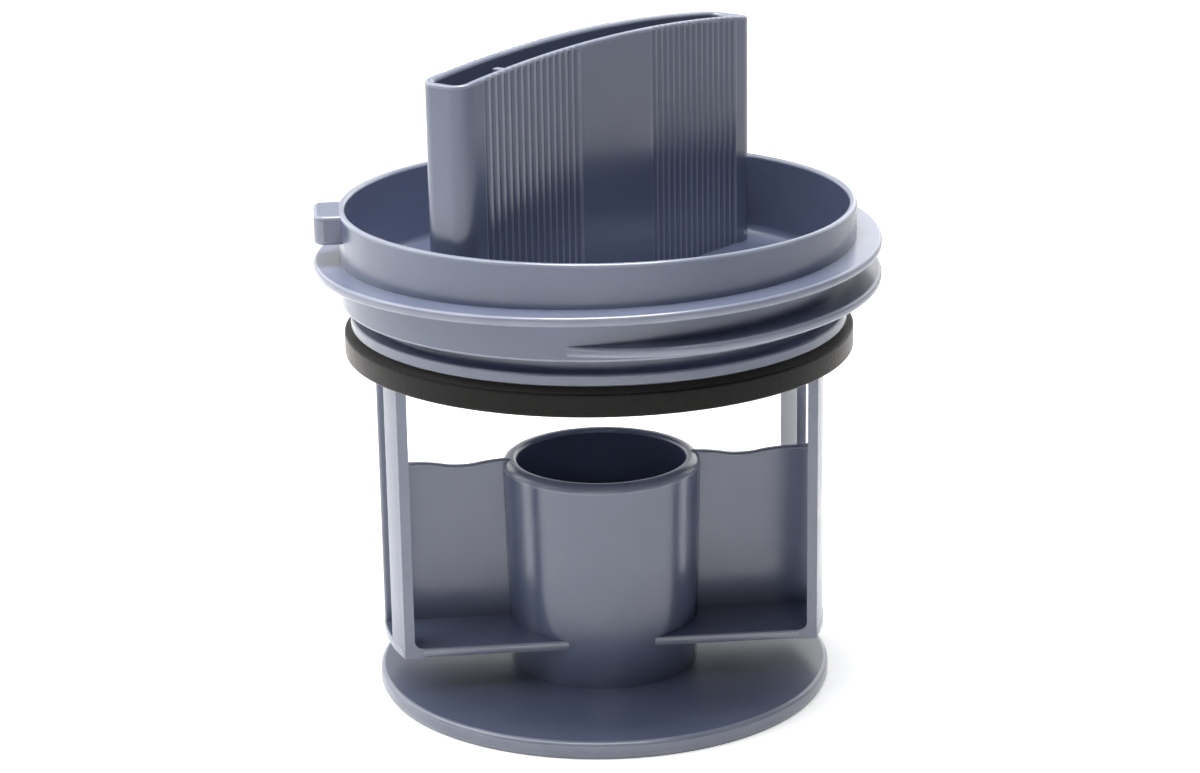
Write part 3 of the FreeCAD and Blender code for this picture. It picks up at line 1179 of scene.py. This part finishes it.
def aim(thing: bpy.types.Object, target: Vector, back: Vector, distance: float, roll: float = 0.0) -> None:
    """Place a lamp or camera in the scene so that it looks at a point.

    Args:
        thing: Lamp or camera.
        target: Point to look at.
        back: Direction from the point to the lamp or camera.
        distance: Distance from the point in metres.
        roll: Degrees that it is rolled by.
    """
    thing.location = target + back * distance
    thing.rotation_mode = "QUATERNION"
    level = (-back).to_track_quat("-Z", "Y")
    thing.rotation_quaternion = level @ Quaternion((0, 0, 1), math.radians(roll))
    bpy.context.collection.objects.link(thing)


@dataclass(frozen=True)
class SoftLight:
    """A soft box of the studio, aimed at the filter, in degrees, metres and watts."""

    name: str
    azimuth: float
    elevation: float
    distance: float
    width: float
    height: float
    power: float

    def build(self, target: Vector) -> None:
        """Hang the light.

        Args:
            target: Point that it is aimed at.
        """
        data = bpy.data.lights.new(self.name, "AREA")
        data.shape = "RECTANGLE"
        data.size = self.width
        data.size_y = self.height
        data.energy = self.power
        lamp = bpy.data.objects.new(self.name, data)
        aim(lamp, target, direction_from(self.azimuth, self.elevation), self.distance)


@dataclass
class Studio:
    """The white table, the soft lights and the camera.

    The camera's sizes are the photograph's, in pixels, millimetres and degrees, and the table's are metres.
    The white backdrop stands behind the filter and shows in its gloss, and a dark flag stands to the right.
    """

    target_height: float = 38.1
    camera_azimuth: float = -5.3
    camera_pitch: float = 17.018
    camera_roll: float = -0.944
    camera_distance: float = 371.8
    camera_clip: float = 0.01
    focal_pixels: float = 3042.0
    picture_width: float = 1200.0
    picture_fit: float = 0.975
    sensor: float = 36.0
    table_half: float = 3.0
    table_grey: float = 0.86
    table_roughness: float = 0.9
    table_specular: float = 0.1
    table_glow: Span = (0.5, 1.0)
    table_fade: Span = (0.12, 0.7)
    table_gloss: float = 0.6
    backdrop_gloss: float = 0.9
    backdrop_reach: Span = (-0.25, 0.35)
    flag_gloss: float = 0.15
    flag_on_table: Span = (0.05, 0.16)
    flag_reach: Span = (0.45, 0.9)
    sky: float = 0.02
    lights: list[SoftLight] = field(default_factory=lambda: [
        SoftLight("top_box", 0.0, 89.0, 0.55, 0.28, 0.28, 4.0),
        SoftLight("front_fill", -5.0, 65.0, 0.6, 0.4, 0.3, 0.5),
        SoftLight("front_card", -5.0, 17.0, 0.7, 0.5, 0.12, 0.3),
        SoftLight("left_box", -90.0, 50.0, 0.6, 0.6, 0.5, 2.4),
        SoftLight("left_edge", -140.0, 25.0, 0.8, 0.8, 0.6, 1.4),
        SoftLight("left_card", -100.0, 10.0, 0.8, 0.8, 0.25, 0.35),
        SoftLight("right_edge", 140.0, 20.0, 0.8, 0.8, 0.5, 1.6),
    ])

    def table_finish(self) -> bpy.types.Material:
        """Make the table's matt white, which also glows to the camera and in the filter's gloss.

        Returns:
            The material.
        """
        material = bpy.data.materials.new("table_white")
        tree = NodeTree(material, PRINCIPLED)
        grey = self.table_grey
        tree.settle(
            Base_Color=(grey, grey, grey, 1.0), Roughness=self.table_roughness,
            Specular_IOR_Level=self.table_specular, Emission_Color=WHITE,
        )
        path = tree.add("LightPath")
        where = tree.add("TexCoord")
        away = tree.add("VectorMath", operation="LENGTH")
        tree.join(where.outputs["Object"], away.inputs[0])
        parts = tree.add("SeparateXYZ")
        tree.join(where.outputs["Object"], parts.inputs["Vector"])
        flagged = (self.table_gloss, self.table_gloss * self.flag_gloss)
        shown = tree.ramp(away.outputs["Value"], self.table_fade, self.table_glow)
        mirrored = tree.ramp(parts.outputs["X"], self.flag_on_table, flagged)
        to_camera = tree.combine(Operation.MULTIPLY, path.outputs["Is Camera Ray"], shown)
        to_gloss = tree.combine(Operation.MULTIPLY, path.outputs["Is Glossy Ray"], mirrored)
        tree.drive("Emission Strength", tree.combine(Operation.ADD, to_camera, to_gloss))
        return material

    def table(self) -> None:
        """Lay the white table, which keeps the filter's shadow."""
        bm = bmesh.new()
        bmesh.ops.create_grid(bm, x_segments=2, y_segments=2, size=self.table_half)
        mesh = bpy.data.meshes.new("table")
        bm.to_mesh(mesh)
        bm.free()
        mesh.materials.append(self.table_finish())
        table = bpy.data.objects.new("table", mesh)
        bpy.context.collection.objects.link(table)

    def surroundings(self) -> None:
        """Fill the room with faint even light: white to the camera, backdrop and flag in the gloss."""
        world = bpy.data.worlds.new("studio")
        bpy.context.scene.world = world
        tree = NodeTree(world, BACKGROUND)
        tree.settle(Color=WHITE)
        path = tree.add("LightPath")
        where = tree.add("TexCoord")
        parts = tree.add("SeparateXYZ")
        tree.join(where.outputs["Generated"], parts.inputs["Vector"])
        backdrop = tree.ramp(parts.outputs["Y"], self.backdrop_reach, (0.0, self.backdrop_gloss))
        flag = tree.ramp(parts.outputs["X"], self.flag_reach, (1.0, self.flag_gloss))
        room = tree.combine(Operation.MULTIPLY, backdrop, flag)
        mirrored = tree.combine(Operation.MULTIPLY, room, path.outputs["Is Glossy Ray"])
        seen = tree.combine(Operation.MAXIMUM, path.outputs["Is Camera Ray"], mirrored)
        tree.drive("Strength", tree.ramp(seen, WHOLE, (self.sky, 1.0)))

    def camera(self) -> None:
        """Set the camera at the photograph's angle."""
        data = bpy.data.cameras.new("camera")
        data.sensor_width = self.sensor
        data.lens = self.sensor * self.focal_pixels / self.picture_width * self.picture_fit
        data.clip_start = self.camera_clip
        camera = bpy.data.objects.new("camera", data)
        back = direction_from(self.camera_azimuth, self.camera_pitch)
        aim(camera, self.target(), back, self.camera_distance * MM, self.camera_roll)
        bpy.context.scene.camera = camera

    def target(self) -> Vector:
        """Point of the screw axis in the middle of the picture."""
        return Vector((0.0, 0.0, self.target_height * MM))

    def build(self) -> None:
        """Set up the table, the light and the camera."""
        self.table()
        self.surroundings()
        for light in self.lights:
            light.build(self.target())
        self.camera()
        bpy.context.scene.view_settings.view_transform = "Standard"


def write_sizes() -> None:
    """Bring the scene's positions up to date."""
    bpy.context.view_layer.update()


def main() -> None:
    """Build the filter's pieces in order and set up the studio."""
    logging.basicConfig(level=logging.INFO)
    plastic = MouldedPlastic().material()
    rubber = SealRubber().material()
    parts: list[SubAssembly] = [
        BaseAndTube(plastic),
        LintCage(plastic),
        ThreadedCap(plastic),
        ScrewThread(plastic),
        Grip(plastic),
        SealRing(rubber),
    ]
    for part in parts:
        piece = part.build()
        LOG.info("%s: %d faces, for %s", piece.name, len(piece.data.polygons), part.solid.value)
    Studio().build()
    write_sizes()


if __name__ == "__main__":
    main()
